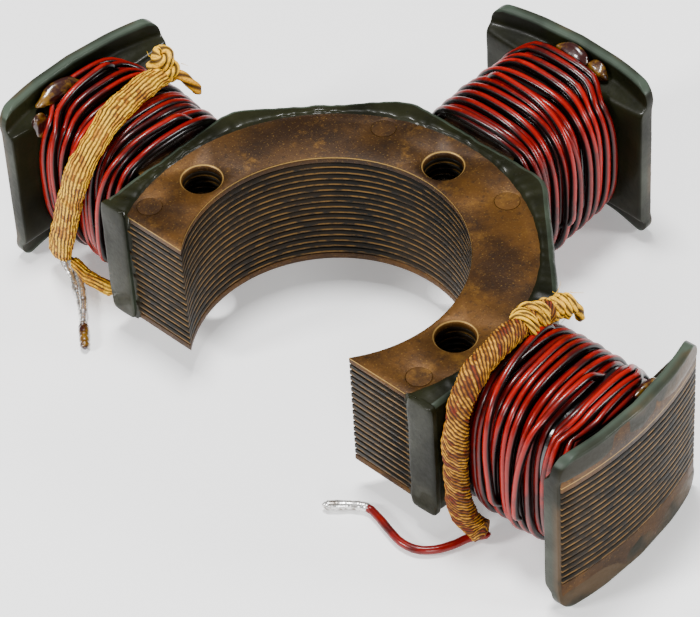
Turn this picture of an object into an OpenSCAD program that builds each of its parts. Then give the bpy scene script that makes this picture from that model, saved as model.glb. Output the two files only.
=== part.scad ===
// Three-pole charging coil of a small engine: a laminated C-shaped core with
// three wound poles, their insulation, sleeved ends and tinned leads.
// +Z is the axis of the bore, +X the middle pole, and Z = 0 the underside of
// the stack. All lengths are in millimetres.

/* [Core] */
// Radius of the bore that sits on the engine's boss
bore_r = 23; // [20:0.5:25]
// Distance from the centre to each flat of the octagonal yoke
yoke_apothem = 35; // [34:0.5:37]
// Distance from the centre to the plane that opens the yoke into a C
mouth_x = 14; // [8:1:18]
// Thickness of one sheet of the stack
sheet_t = 1.2; // [0.8:0.1:1.3]
// Varnish film between two sheets
film_t = 0.05; // [0.02:0.01:0.08]
// Number of sheets between the end plates
sheet_count = 16; // [10:1:16]
// Thickness of an end plate
plate_t = 1.3; // [1:0.1:1.5]
// Direction of the two outer poles from the middle one, in degrees
outer_pole_angle = 87; // [84:1:92]

/* [Poles] */
// Width of the neck that carries the winding
neck_w = 15; // [13:0.5:18]
// Radius of the ground outer face of the pole shoes
shoe_r = 62; // [58:0.5:66]
// Distance from the centre to the flat inner face of a shoe
shoe_inner_x = 57; // [54:0.5:58]
// Width of a pole shoe
shoe_w = 33; // [28:0.5:36]
// How far the bent flap of an end plate stands beyond the stack
flap_h = 4.75; // [3:0.25:6]

/* [Holes and rivets] */
// Radius of the three plain mounting holes
hole_r = 3.2; // [2.5:0.1:3.4]
// Size of the chamfer at both ends of a mounting hole
hole_chamfer = 0.45; // [0.2:0.05:0.5]
// Distance from the centre to the mounting holes
hole_ring_r = 27.5; // [27:0.5:29]
// Radius of a rivet's shank
rivet_r = 2; // [1.5:0.1:2.2]
// Distance from the centre to the rivets
rivet_ring_r = 30.9; // [30:0.1:31.5]

/* [Windings] */
// Diameter of the enamelled wire
wire_d = 1.4; // [1:0.1:1.6]
// Turns in one layer
turns = 14; // [10:1:14]
// Depth of the wound wire over the insulation
build_t = 2.8; // [1.5:0.1:3.2]
// How much the winding swells halfway along
swell = 0.5; // [0:0.1:0.6]

/* [Insulation and sleeves] */
// Thickness of the epoxy on the yoke's outer walls
coat_t = 0.8; // [0.4:0.1:1]
// Thickness of the insulation on the pole necks and shoes
liner_t = 0.5; // [0.3:0.1:0.6]
// Radius inside which the end plates are left bare
bare_r = 33.5; // [32:0.5:34]
// Diameter of the braided sleeve on the right pole
sleeve_d = 3.8; // [2.5:0.1:4]
// Width of the flattened sleeve on the left pole
flat_sleeve_w = 4.6; // [3:0.1:5]

/* [Hidden] */
sheet_names = [for (i = [1 : sheet_count]) str("lamination_", i < 10 ? "0" : "", i)];

$fn = 96;
eps = 0.01;
stack_h = 2 * plate_t + sheet_count * sheet_t + (sheet_count + 1) * film_t;
pitch = sheet_t + film_t;
pole_angles = [outer_pole_angle, 0, -outer_pole_angle];
hole_angles = [90, 0, -90];
rivet_angles = [109.1, 25.7, -25.7, -109.1];
rivet_clearance = 0.05;
far = 80;

neck_start = yoke_apothem - 3;
bend_r = 1;
flap_corner_r = 3;
flap_r = shoe_r - plate_t;
flap_top = stack_h + flap_h;

coat_lip_t = 0.35;
coat_outer = yoke_apothem + coat_t;
end_coat_y = 30.8;
end_coat_t = 0.6;
liner_start = coat_outer;
liner_end = shoe_inner_x - liner_t;

liner_w = neck_w + 2 * liner_t;
liner_h = stack_h + 2 * liner_t;
winding_gap = 0.05;
turn_pitch = (liner_end - liner_start - wire_d - 2 * winding_gap) / (turns - 1);
winding_start = liner_start + winding_gap + wire_d / 2;
corner_r = 0.8;

tube_sides = 8;

// Routes of the cords. Those of a pole are [along the pole, across it, up].
wire_r = wire_d / 2;
lead_right_route = [
    [-9.6, -42.6, -3.4], [-10.8, -41.4, -3.7], [-12.4, -40.2, -3.9], [-14.6, -39.4, -4],
    [-17.2, -38, -4], [-19.1, -35.8, -4], [-19.6, -33, -4],
    [-19, -30, -4], [-18.2, -27.2, -4], [-17.7, -25, -4]
];
lead_tip_route = [
    [-17.7, -24.9, -4], [-17.9, -23.6, -4], [-19, -21.8, -4],
    [-20.4, -20.2, -4], [-22, -18.4, -4]
];
lead_left_route = [
    [-10.2, 50.4, -2.6], [-11.3, 48.2, -3.3], [-13, 45.8, -3.8],
    [-15.6, 42.8, -4], [-18.4, 39.6, -4]
];
flux_route = [
    [-18.5, 39.5, -4], [-19.6, 38.2, -4], [-21, 36.6, -4], [-22.4, 35, -4]
];
sleeve_right_route = [
    [38.4, 8.4, 27], [37.7, 5, 28], [37.5, 0, 28.3], [37.6, -5, 28.2],
    [37.8, -9.5, 27.2], [38, -12.6, 24.6], [38, -14.3, 20.5],
    [38, -14.7, 15], [38, -14.7, 9], [38.2, -14.5, 4],
    [38.8, -13.9, 0.4], [40.2, -13.1, -1.8], [42, -12.9, -2.5]
];
sleeve_left_route = [
    [46.6, -7.6, 27.6], [46.2, -4.4, 28.2], [45.6, 0, 28.3],
    [44.6, 4.6, 28.2], [43.4, 8.6, 27.4], [43, 11.8, 25.4],
    [43.8, 13.9, 21.8], [45.2, 14.4, 17.4], [46.8, 14.5, 12.6],
    [48.4, 14.5, 7.8], [50, 14.4, 3.4], [51.4, 14, 0], [51.6, 13.4, -2.2]
];
tape_left_route = [
    [50.4, 13.6, -2.7], [47.6, 13.9, -2.4], [44.8, 13.8, -2.2],
    [42, 13.3, -2.4], [39.4, 12.6, -2.8]
];
knob_route = [
    [47.2, -8.4, 26.8], [47.4, -8.6, 28.4], [47.5, -8.7, 30], [47.5, -8.7, 31.2]
];
knot_route = [
    [37.6, 6.4, 27], [38, 8, 26.9], [38.7, 9.8, 26.8], [39.6, 11.6, 26.4]
];
crossover_route = [
    [38.2, 12.4, 0.8], [36.8, 12.4, -0.7], [34.2, 13, -1.3],
    [29.8, 18, -1.3], [24.7, 24.7, -1.3], [18, 29.8, -1.3],
    [13.4, 34, -1.3], [13.6, 36.4, -0.7], [14.2, 37.8, 0.8]
];

function unit(v) = v / norm(v);
function mirrored(route) = [for (p = route) [p[0], -p[1], p[2]]];

// Catmull-Rom point between p1 and p2 at t from 0 to 1
function spline_point(p0, p1, p2, p3, t) =
    0.5 * (2 * p1 + (p2 - p0) * t + (2 * p0 - 5 * p1 + 4 * p2 - p3) * t * t
        + (3 * p1 - p0 - 3 * p2 + p3) * t * t * t);

// A smooth route through every given point, with steps points per span
function smooth(route, steps) =
    let (last = len(route) - 1)
    concat(
        [for (i = [0 : last - 1], s = [0 : steps - 1])
            spline_point(
                route[max(i - 1, 0)], route[i], route[i + 1],
                route[min(i + 2, last)], s / steps)],
        [route[last]]);

function tangent(path, i) =
    unit(path[min(i + 1, len(path) - 1)] - path[max(i - 1, 0)]);

// One elliptical ring round point i; half_w is measured towards the side vector
function ring(path, i, half_w, half_t, side) =
    let (
        along = tangent(path, i),
        across = unit(side - (side * along) * along),
        up = cross(along, across)
    )
    [for (k = [0 : tube_sides - 1])
        let (a = 360 * k / tube_sides)
        path[i] + half_w * cos(a) * across + half_t * sin(a) * up];

module tube(route, half_w, half_t, side = [0, 0, 1], steps = 3) {
    path = smooth(route, steps);
    rings = len(path);
    points = [for (i = [0 : rings - 1]) each ring(path, i, half_w, half_t, side)];
    walls = [for (i = [0 : rings - 2], k = [0 : tube_sides - 1])
        let (n = (k + 1) % tube_sides)
        [i * tube_sides + k, (i + 1) * tube_sides + k,
            (i + 1) * tube_sides + n, i * tube_sides + n]];
    first_end = [for (k = [0 : tube_sides - 1]) k];
    last_end = [for (k = [tube_sides - 1 : -1 : 0]) (rings - 1) * tube_sides + k];
    polyhedron(points, concat([first_end], walls, [last_end]));
}

module octagon(apothem) {
    rotate(22.5) circle(r = apothem / cos(22.5), $fn = 8);
}

// The half plane that is left of the yoke once its mouth is cut
module keep_side(offset_x) {
    translate([-offset_x, -far]) square([2 * far, 2 * far]);
}

module neck_outline() {
    translate([neck_start, -neck_w / 2])
        square([shoe_inner_x - neck_start + 1, neck_w]);
}

module shoe_outline(inner_x, width) {
    intersection() {
        circle(r = shoe_r, $fn = 240);
        translate([inner_x, -width / 2]) square([shoe_r, width]);
    }
}

module rivet_holes() {
    for (a = rivet_angles) {
        rotate(a) translate([rivet_ring_r, 0]) circle(r = rivet_r + rivet_clearance);
    }
}

// Outline shared by every sheet of the core
module core_outline() {
    difference() {
        union() {
            intersection() {
                octagon(yoke_apothem);
                keep_side(mouth_x);
            }
            for (a = pole_angles) {
                rotate(a) neck_outline();
                rotate(a) shoe_outline(shoe_inner_x, shoe_w);
            }
        }
        circle(r = bore_r, $fn = 180);
        for (a = hole_angles) {
            rotate(a) translate([hole_ring_r, 0]) circle(r = hole_r);
        }
        rivet_holes();
    }
}

module lamination(index) {
    color([0.26, 0.24, 0.19])
        translate([0, 0, plate_t + film_t + index * pitch])
            linear_extrude(sheet_t) core_outline();
}

// Section of a bent flap as [distance from the centre, height]
module flap_section() {
    translate([flap_r, 0]) square([plate_t, flap_h + plate_t]);
    difference() {
        translate([flap_r - bend_r, plate_t - eps]) square([bend_r + eps, bend_r + eps]);
        translate([flap_r - bend_r, plate_t + bend_r]) circle(r = bend_r, $fn = 48);
    }
}

// Front view of a flap with its free corners rounded, standing along X
module flap_block(width, height) {
    rotate([90, 0, 90]) linear_extrude(far) {
        translate([-width / 2, 0]) square([width, height - flap_corner_r]);
        translate([-width / 2 + flap_corner_r, 0]) square([width - 2 * flap_corner_r, height]);
        for (side = [-1, 1]) {
            translate([side * (width / 2 - flap_corner_r), height - flap_corner_r])
                circle(r = flap_corner_r, $fn = 48);
        }
    }
}

module bent_flap() {
    intersection() {
        rotate(-20) rotate_extrude(angle = 40, $fn = 240) flap_section();
        flap_block(shoe_w, flap_h + plate_t);
    }
}

// The plate lies at Z = 0 with its flaps turned up
module end_plate() {
    color([0.40, 0.29, 0.15]) {
        difference() {
            linear_extrude(plate_t) core_outline();
            for (a = hole_angles) {
                rotate(a) translate([hole_ring_r, 0, plate_t - hole_chamfer])
                    cylinder(r1 = hole_r, r2 = hole_r + 1.1 * hole_chamfer, h = 1.1 * hole_chamfer);
            }
        }
        for (a = pole_angles) {
            rotate(a) bent_flap();
        }
    }
}

module end_plate_top() {
    translate([0, 0, stack_h - plate_t]) end_plate();
}

module end_plate_bottom() {
    translate([0, 0, plate_t]) mirror([0, 0, 1]) end_plate();
}

// Plain pins, closed flush with the plates
module rivets() {
    color([0.33, 0.25, 0.16])
        for (a = rivet_angles) {
            rotate(a) translate([rivet_ring_r, 0, 0]) cylinder(r = rivet_r, h = stack_h);
        }
}

// Epoxy over the yoke's outer walls, lapping on to both end plates
module yoke_coating() {
    color([0.25, 0.28, 0.22])
        difference() {
            translate([0, 0, -coat_lip_t])
                linear_extrude(stack_h + 2 * coat_lip_t)
                    intersection() {
                        octagon(coat_outer);
                        keep_side(mouth_x + end_coat_t);
                    }
            linear_extrude(stack_h)
                intersection() {
                    octagon(yoke_apothem);
                    keep_side(mouth_x);
                }
            translate([0, 0, -1]) cylinder(r = bare_r, h = stack_h + 2);
            translate([-far - mouth_x, -end_coat_y, -1])
                cube([far + eps, 2 * end_coat_y, stack_h + 2]);
            for (a = pole_angles) {
                rotate(a) translate([neck_start, -neck_w / 2, 0])
                    cube([far, neck_w, stack_h]);
            }
        }
}

module neck_block(start, end, width, height) {
    translate([start, -width / 2, stack_h / 2 - height / 2])
        cube([end - start, width, height]);
}

// One side of the pole shoe's liner, on the flap that stands above the stack
module flap_liner() {
    difference() {
        intersection() {
            rotate(-20) rotate_extrude(angle = 40, $fn = 240)
                translate([flap_r - liner_t, 0]) square([liner_t, stack_h + flap_h]);
            flap_block(shoe_w, stack_h + flap_h);
        }
        translate([0, -far, -1]) cube([far, 2 * far, stack_h + bend_r + 1]);
    }
}

// Insulation round a neck and on the inner face of its shoe
module pole_liner(angle) {
    color([0.29, 0.31, 0.24])
        rotate(angle) {
            difference() {
                union() {
                    neck_block(liner_start, liner_end, liner_w, liner_h);
                    neck_block(liner_end, shoe_inner_x, shoe_w, stack_h);
                }
                neck_block(neck_start, shoe_inner_x + 1, neck_w, stack_h);
            }
            flap_liner();
            translate([0, 0, stack_h]) mirror([0, 0, 1]) flap_liner();
        }
}

// How far the outer layer swells at a place along the pole
function swell_at(i) = swell * sin(180 * i / (turns - 1));

// Section of a winding as [distance out from the liner, place along the pole]
module winding_section() {
    for (i = [0 : turns - 1]) {
        reach = build_t - wire_r + swell_at(i);
        place = winding_start + i * turn_pitch;
        translate([reach, place]) circle(r = wire_r + 0.02, $fn = 24);
        translate([0, place - turn_pitch / 2 - 0.01])
            square([reach, turn_pitch + 0.02]);
    }
}

// The section is carried round the four sides and corners of the neck
module winding(angle) {
    flat_w = liner_w - 2 * corner_r;
    flat_h = liner_h - 2 * corner_r;
    color([0.68, 0.16, 0.10])
        rotate(angle) translate([0, 0, stack_h / 2]) rotate([90, 0, 90])
            for (side = [0, 1]) {
                rotate(180 * side) {
                    translate([flat_w / 2, flat_h / 2, 0]) winding_corner();
                    translate([-flat_w / 2, flat_h / 2, 0]) rotate(90) winding_corner();
                    translate([flat_w / 2, flat_h / 2, 0]) rotate([90, 0, 0])
                        linear_extrude(flat_h) translate([corner_r, 0]) winding_section();
                    translate([-flat_w / 2, flat_h / 2, 0]) rotate(90) rotate([90, 0, 0])
                        linear_extrude(flat_w) translate([corner_r, 0]) winding_section();
                }
            }
}

module winding_corner() {
    rotate_extrude(angle = 90, $fn = 48) translate([corner_r, 0]) winding_section();
}

module crossover_right() {
    color([0.62, 0.14, 0.09]) tube(mirrored(crossover_route), wire_r, wire_r);
}

module crossover_left() {
    color([0.62, 0.14, 0.09]) tube(crossover_route, wire_r, wire_r);
}

module lead_sleeve_right() {
    color([0.62, 0.44, 0.20]) rotate(pole_angles[2])
        tube(sleeve_right_route, sleeve_d / 2, sleeve_d / 2, [1, 0, 0]);
}

module lead_sleeve_left() {
    color([0.80, 0.62, 0.32]) rotate(pole_angles[0])
        tube(sleeve_left_route, flat_sleeve_w / 2, 1.5, [1, 0, 0]);
}

module tie_tape_left() {
    color([0.70, 0.52, 0.26]) rotate(pole_angles[0])
        tube(tape_left_route, 1.3, 1, [0, 0, 1]);
}

module tie_knot_left() {
    color([0.84, 0.66, 0.32]) rotate(pole_angles[0])
        tube(knob_route, 1.7, 1.7, [1, 0, 0]);
}

module tie_knot_right() {
    color([0.84, 0.70, 0.40]) rotate(pole_angles[2])
        tube(knot_route, 2, 1.6, [0, 0, 1]);
}

module lead_left() {
    color([0.80, 0.80, 0.78]) tube(lead_left_route, wire_r, wire_r);
}

module flux_bead_left() {
    color([0.72, 0.42, 0.10]) tube(flux_route, wire_r + 0.05, wire_r);
}

module lead_right() {
    color([0.72, 0.12, 0.10]) tube(lead_right_route, wire_r, wire_r);
}

module lead_tip_right() {
    color([0.80, 0.78, 0.76]) tube(lead_tip_route, wire_r - 0.1, wire_r - 0.1);
}

// Drops of varnish that set between each winding and its shoe
module varnish_beads() {
    bead_r = 1.3;
    color([0.45, 0.30, 0.10])
        for (a = pole_angles) {
            rotate(a) translate([shoe_inner_x + 0.6, 2, stack_h + build_t - 0.2])
                sphere(r = bead_r, $fn = 32);
        }
}

for (i = [0 : sheet_count - 1]) {
    lamination(i);
}
end_plate_bottom();
end_plate_top();
rivets();
yoke_coating();
pole_liner(pole_angles[0]);  // pole_liner_left
pole_liner(pole_angles[1]);  // pole_liner_middle
pole_liner(pole_angles[2]);  // pole_liner_right
winding(pole_angles[0]);  // winding_left
winding(pole_angles[1]);  // winding_middle
winding(pole_angles[2]);  // winding_right
crossover_left();
crossover_right();
lead_sleeve_left();
lead_sleeve_right();
tie_knot_left();
tie_knot_right();
tie_tape_left();
lead_left();
flux_bead_left();
lead_right();
lead_tip_right();
varnish_beads();
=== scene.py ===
# A three-pole charging coil: laminated C core, epoxy coat, three wire windings,
# braided sleeves and tinned leads. Shapes are worked out in millimetres in the
# object's frame and turned to metres as each mesh is made.
import math
import bmesh
import bpy
import numpy as np
from mathutils import Matrix, Vector


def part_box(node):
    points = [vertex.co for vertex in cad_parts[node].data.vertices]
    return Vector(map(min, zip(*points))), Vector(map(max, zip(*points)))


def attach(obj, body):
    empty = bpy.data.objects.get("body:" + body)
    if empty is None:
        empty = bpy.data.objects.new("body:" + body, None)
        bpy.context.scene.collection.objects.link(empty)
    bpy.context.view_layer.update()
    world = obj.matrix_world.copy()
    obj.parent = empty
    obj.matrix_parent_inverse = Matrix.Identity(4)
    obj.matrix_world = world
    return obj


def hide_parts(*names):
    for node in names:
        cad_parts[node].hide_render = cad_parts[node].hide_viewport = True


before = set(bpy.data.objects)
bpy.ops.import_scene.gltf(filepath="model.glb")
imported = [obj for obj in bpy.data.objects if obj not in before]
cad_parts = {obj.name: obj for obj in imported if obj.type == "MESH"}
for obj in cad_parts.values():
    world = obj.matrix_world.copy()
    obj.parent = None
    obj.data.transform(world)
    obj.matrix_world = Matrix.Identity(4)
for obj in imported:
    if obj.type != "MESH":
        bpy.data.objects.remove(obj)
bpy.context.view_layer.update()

mm = 0.001
poleAngle = {"left": 87.0, "middle": 0.0, "right": -87.0}
stackLow, stackHigh = 0.0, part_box("rivets")[1].z / mm
stackMid = (stackLow + stackHigh) / 2
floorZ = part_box("end_plate_bottom")[0].z / mm

core = {
    "yokeFlat": 35.0,       # centre to each flat of the octagon
    "bareR": 33.5,          # the plates are bare inside this circle
    "mouthX": -14.0,        # plane that opens the yoke
    "shoeR": 62.0,
    "shoeInnerX": 57.0,
    "shoeHalf": 16.5,
    "flapInnerR": 60.7,
    "firstSheet": 1.35,     # height of the first sheet
    "pitch": 1.25,
}

# The camera looks down on the open side of the core
camera = {
    "turn": -132.998,       # direction from the object to the camera, about Z
    "rise": 43.6925,
    "roll": -4.4808,
    "distance": 598.6,
    "slide": (5.985, -14.449),
    "lens": 191.05,
    "shift": (0.078, -0.0589),
}


def makeCamera(c):
    # back points from the object to the camera; right and up are then rolled about it
    turn, rise, roll = (math.radians(c[k]) for k in ("turn", "rise", "roll"))
    back = Vector((math.cos(rise) * math.cos(turn), math.cos(rise) * math.sin(turn),
                   math.sin(rise)))
    flat = Vector((-math.sin(turn), math.cos(turn), 0))
    tall = back.cross(flat)
    right = math.cos(roll) * flat + math.sin(roll) * tall
    up = math.cos(roll) * tall - math.sin(roll) * flat
    place = (c["distance"] * back - c["slide"][0] * right - c["slide"][1] * up) * mm
    data = bpy.data.cameras.new("camera")
    data.sensor_width = 36
    data.lens = c["lens"]
    data.shift_x, data.shift_y = c["shift"]
    data.clip_start, data.clip_end = 0.01, 20
    cam = bpy.data.objects.new("camera", data)
    bpy.context.scene.collection.objects.link(cam)
    axes = Matrix((right, up, back)).transposed().to_4x4()
    cam.matrix_world = Matrix.Translation(place) @ axes
    bpy.context.scene.camera = cam


makeCamera(camera)
print("camera made")


def tubeShell(rings, bandEnds=False, **marks):
    # rings is (rows, columns, 3): quads join each row to the next. A fan round the middle
    # closes the first and the last row, or, for a thin curved band, strips that join
    # each point to the one across from it
    rows, cols = rings.shape[:2]
    i = np.arange(rows - 1)[:, None] * cols
    j = np.arange(cols)[None, :]
    k = (j + 1) % cols
    quads = np.stack([i + j, i + k, i + cols + k, i + cols + j], -1).reshape(-1, 4)
    points = rings.reshape(-1, 3)
    last = (rows - 1) * cols
    if bandEnds:
        near = np.arange(1, cols // 2 - 1)
        strip = np.stack([near, cols - near, cols - near - 1, near + 1], -1)
        tips = np.array([[0, cols - 1, 1], [cols // 2, cols // 2 - 1, cols // 2 + 1]])
        quads = np.vstack([quads, strip, strip[:, ::-1] + last])
        tris = np.vstack([tips, tips[:, ::-1] + last])
    else:
        first = len(points)
        points = np.vstack([points, rings[0].mean(0), rings[-1].mean(0)])
        ring = np.arange(cols)
        after = (ring + 1) % cols
        tris = np.vstack([
            np.stack([after, ring, np.full(cols, first)], -1),
            np.stack([last + ring, last + after, np.full(cols, first + 1)], -1),
        ])
    out = {}
    for name, value in marks.items():
        flat = np.broadcast_to(value, rings.shape[:2]).reshape(-1)
        ends = [] if bandEnds else [flat[:cols].mean(), flat[-cols:].mean()]
        out[name] = np.concatenate([flat, ends])
    return {"points": points, "quads": quads, "tris": tris, "marks": out}


def outward(shell):
    # Signed volume by the divergence theorem: a negative one means the faces look inwards
    p = shell["points"]
    tris = np.vstack([shell["tris"], shell["quads"][:, [0, 1, 2]], shell["quads"][:, [0, 2, 3]]])
    a, b, c = p[tris[:, 0]], p[tris[:, 1]], p[tris[:, 2]]
    if np.einsum("ij,ij->i", a, np.cross(b, c)).sum() < 0:
        shell["quads"] = shell["quads"][:, ::-1]
        shell["tris"] = shell["tris"][:, ::-1]
    return shell


def makePiece(name, shells, material, slotName, replaced=()):
    # One object from closed shells, whose marks become attributes that the material reads
    shells = [outward(s) for s in shells]
    sizes = np.cumsum([0] + [len(s["points"]) for s in shells])
    points = np.vstack([s["points"] for s in shells]) * mm
    quads = np.vstack([s["quads"] + n for s, n in zip(shells, sizes)])
    tris = np.vstack([s["tris"] + n for s, n in zip(shells, sizes)])
    mesh = bpy.data.meshes.new(name)
    mesh.from_pydata(points.tolist(), [], quads.tolist() + tris.tolist())
    for mark in shells[0]["marks"]:
        layer = mesh.attributes.new(mark, "FLOAT", "POINT")
        values = np.concatenate([s["marks"][mark] for s in shells]).astype(np.float32)
        layer.data.foreach_set("value", values)
    mesh.shade_smooth()
    piece = bpy.data.objects.new(name, mesh)
    bpy.context.scene.collection.objects.link(piece)
    return finishPiece(piece, material, replaced)


def finishPiece(piece, material, replaced=()):
    # Everything is fixed to the one body
    piece.data.materials.append(material)
    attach(piece, "root")
    if replaced:
        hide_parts(*replaced)
    return piece


def turned(points, degrees):
    # Rotation about Z
    a = math.radians(degrees)
    turn = np.array([[math.cos(a), -math.sin(a), 0],
                     [math.sin(a), math.cos(a), 0],
                     [0, 0, 1]])
    return points @ turn.T


def smoothRoute(points, perSpan):
    # Catmull-Rom: a cubic through every given point, its slope set by the two neighbours
    p = np.asarray(points, float)
    ahead = np.vstack([p[0], p, p[-1]])
    t = np.linspace(0, 1, perSpan, endpoint=False)[None, :, None]
    p0, p1, p2, p3 = (ahead[i:len(p) - 1 + i, None, :] for i in range(4))
    curve = 0.5 * (2 * p1 + (p2 - p0) * t + (2 * p0 - 5 * p1 + 4 * p2 - p3) * t ** 2
                   + (3 * p1 - p0 - 3 * p2 + p3) * t ** 3)
    return np.vstack([curve.reshape(-1, 3), p[-1]])


def evenly(path, count):
    # The same line with its points at equal arc lengths
    run = np.concatenate([[0], np.cumsum(np.linalg.norm(np.diff(path, axis=0), axis=1))])
    at = np.linspace(0, run[-1], count)
    return np.stack([np.interp(at, run, path[:, k]) for k in range(3)], -1)


def sweep(path, radius, side, columns, squash=1.0):
    # A ring round each point of the path, its reach given for each row and column; squash
    # flattens it across the side vector
    along = np.gradient(path, axis=0)
    along /= np.linalg.norm(along, axis=1, keepdims=True)
    side = np.broadcast_to(side, path.shape)
    across = side - (side * along).sum(1, keepdims=True) * along
    across /= np.linalg.norm(across, axis=1, keepdims=True)
    up = np.cross(along, across)
    a = np.linspace(0, 2 * math.pi, columns, endpoint=False)
    radius = np.broadcast_to(radius, (len(path), columns))[..., None]
    squash = np.broadcast_to(squash, len(path))[:, None, None]
    ring = (np.cos(a)[None, :, None] * across[:, None]
            + squash * np.sin(a)[None, :, None] * up[:, None])
    return path[:, None] + radius * ring


def waves(count, low, high, size, seed):
    # A smooth random function of one or more numbers: a sum of sines with falling height
    rng = np.random.default_rng(seed)
    pitch = np.geomspace(low, high, count)
    lean = rng.normal(size=(count, 3))
    lean /= np.linalg.norm(lean, axis=1, keepdims=True)
    start = rng.uniform(0, 2 * math.pi, count)

    def height(points):
        p = np.asarray(points, float)
        if p.ndim == 1:
            p = np.stack([p, p * 0, p * 0], -1)
            turns = p[..., :1] * pitch
        else:
            turns = (p @ lean.T) * pitch
        return size * (np.sin(turns + start) * (low / pitch) ** 0.5).sum(-1) / math.sqrt(count)
    return height



def colour(r, g, b):
    # 8-bit sRGB to the linear values that shaders use
    c = np.array([r, g, b]) / 255
    return (*np.where(c <= 0.04045, c / 12.92, ((c + 0.055) / 1.055) ** 2.4), 1.0)


class Value:
    # Wraps a socket, so that an expression on values adds its Math nodes

    def __init__(self, look, socket):
        self.look, self.socket = look, socket

    def join(self, operation, a, b):
        return self.look.add("ShaderNodeMath", {"operation": operation}, {0: a, 1: b})

    def __add__(self, other):
        return self.join("ADD", self, other)

    def __mul__(self, other):
        return self.join("MULTIPLY", self, other)

    def __sub__(self, other):
        return self.join("SUBTRACT", self, other)

    def __rsub__(self, other):
        return self.join("SUBTRACT", other, self)

    def __truediv__(self, other):
        return self.join("DIVIDE", self, other)

    __radd__ = __add__
    __rmul__ = __mul__


class Look:
    # A material, its Principled shader and the means to add nodes to it

    def __init__(self, name, **fixed):
        self.material = bpy.data.materials.new(name)
        self.material.use_nodes = True
        self.tree = self.material.node_tree
        self.shader = self.tree.nodes["Principled BSDF"]
        for key, value in fixed.items():
            self.shader.inputs[key.replace("_", " ")].default_value = value
        self.place = self.add("ShaderNodeTexCoord", {}, {}, "Object")

    def add(self, kind, settings, inputs, output=0):
        # A node, its settings first, then a link or a plain value for each socket
        node = self.tree.nodes.new(kind)
        for key, value in settings.items():
            setattr(node, key, value)
        for key, value in inputs.items():
            if isinstance(value, Value):
                self.tree.links.new(value.socket, node.inputs[key])
            else:
                node.inputs[key].default_value = value
        return Value(self, node.outputs[output])

    def mark(self, name):
        # A value that the mesh carries at its points
        return self.add("ShaderNodeAttribute", {"attribute_name": name}, {}, "Fac")

    def noise(self, perMetre, detail, rough, stretch=None, seed=0.0):
        # Cloudy noise on the object's own metres; stretch squeezes it, seed slides it
        where = self.place
        if stretch or seed:
            where = self.add("ShaderNodeMapping", {}, {
                0: where, "Location": (seed, seed, seed), "Scale": stretch or (1, 1, 1)})
        return self.add("ShaderNodeTexNoise", {}, {
            "Vector": where, "Scale": perMetre, "Detail": detail, "Roughness": rough}, "Fac")

    def between(self, value, low, high):
        # 0 below low, 1 above high, smooth between
        return self.add("ShaderNodeMapRange", {"interpolation_type": "SMOOTHSTEP"}, {
            "Value": value, "From Min": low, "From Max": high})

    def mix(self, factor, a, b):
        # Colour a where the factor is 0, b where it is 1
        return self.add("ShaderNodeMix", {"data_type": "RGBA"}, {0: factor, 6: a, 7: b}, 2)

    def height(self):
        # Metres above the object's origin
        return self.add("ShaderNodeSeparateXYZ", {}, {0: self.place}, "Z")

    def bump(self, value, distance, strength):
        # Tilts the normal as if the surface stood out by value x distance, in metres
        return self.add("ShaderNodeBump", {}, {
            "Height": value, "Distance": distance, "Strength": strength})

    def to(self, **links):
        # Links values to the shader's sockets and gives the finished material
        for key, value in links.items():
            self.tree.links.new(value.socket, self.shader.inputs[key.replace("_", " ")])
        return self.material



def coreSteel():
    # Sheet edges: warm grey-brown, with a bright burr along the foot of each sheet. The
    # burr follows the part of a pitch by which a point is above its own sheet's foot
    look = Look("core_steel", Metallic=0.25, Specular_IOR_Level=0.15)
    z = look.height()
    streak = look.noise(420, 5, 0.65, (1, 1, 3.2))
    patch = look.noise(70, 3, 0.5)
    dirt = look.noise(1500, 2, 0.5, (1, 1, 0.5))
    dark = look.mix(look.between(patch, 0.38, 0.66), colour(10, 7, 2), colour(28, 20, 8))
    phase = look.add("ShaderNodeMath", {"operation": "FRACT"}, {
        0: (z - core["firstSheet"] * mm) / (core["pitch"] * mm)})
    burr = look.between(phase, 0.10, 0.22) * (1 - look.between(phase, 0.30, 0.46))
    warm = look.mix(burr * look.between(streak, 0.38, 0.58) * 0.9, dark, colour(120, 88, 40))
    tint = look.mix(look.between(dirt, 0.60, 0.75) * 0.5, warm, colour(18, 15, 11))
    rough = 0.40 + streak * 0.30
    relief = look.bump(streak * 0.6 + dirt * 0.4, 0.00008, 0.5)
    return look.to(Base_Color=tint, Roughness=rough, Normal=relief)


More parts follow.
